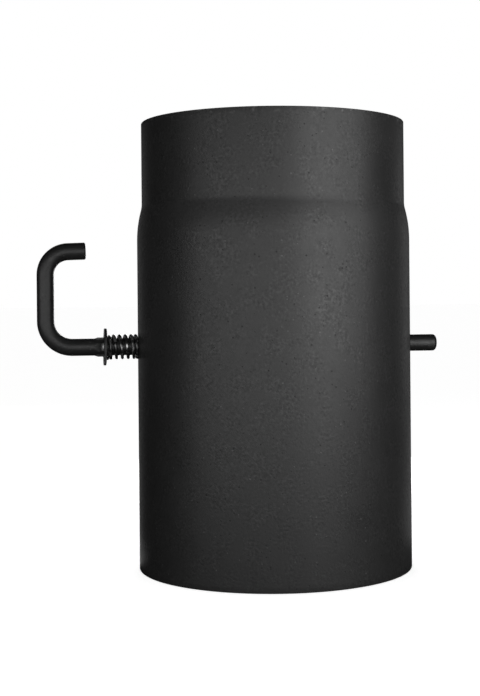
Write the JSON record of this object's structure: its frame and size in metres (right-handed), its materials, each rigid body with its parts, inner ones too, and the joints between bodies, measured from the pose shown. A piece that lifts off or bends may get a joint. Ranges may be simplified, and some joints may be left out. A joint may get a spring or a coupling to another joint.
{
  "type": "stove pipe damper",
  "caption": "Matte black flue pipe section with a drawn-in spigot, a turning damper plate inside on a bent rod handle, and a spring that pulls the rod outwards.",
  "frame": {"origin": "on the pipe's axis, in the plane of the lower rim (the mouth of the wide socket end)", "axes": "+Z along the pipe towards the spigot, +X along the damper's rod away from its handle, +Y towards the weld seam at the back"},
  "size_m": [0.2275, 0.1542, 0.25],
  "materials": {
    "black_paint": "matte",
    "black_steel": "satin",
    "bare_steel": "matte",
    "zinc_steel": "satin"
  },
  "bodies": {
    "pipe": {"pipe_body": "black_paint", "spring": "black_steel"},
    "washer": {"spring_washer": "black_steel"},
    "shaft": {"handle_shaft": "black_paint", "damper_disc": "bare_steel", "disc_bolts": "zinc_steel", "disc_washers": "zinc_steel", "disc_nuts": "zinc_steel"}
  },
  "joints": [
    {"name": "handle_push", "type": "slide", "parent": "pipe", "child": "washer", "axis": [1, 0, 0], "range_m": [0, 0.0038], "stiffness_N_per_m": 11600, "springref_m": -0.0005, "deforming": ["spring"]},
    {"name": "damper_turn", "type": "hinge", "parent": "washer", "child": "shaft", "pos_m": [0, 0, 0.125], "axis": [1, 0, 0], "continuous": true}
  ]
}
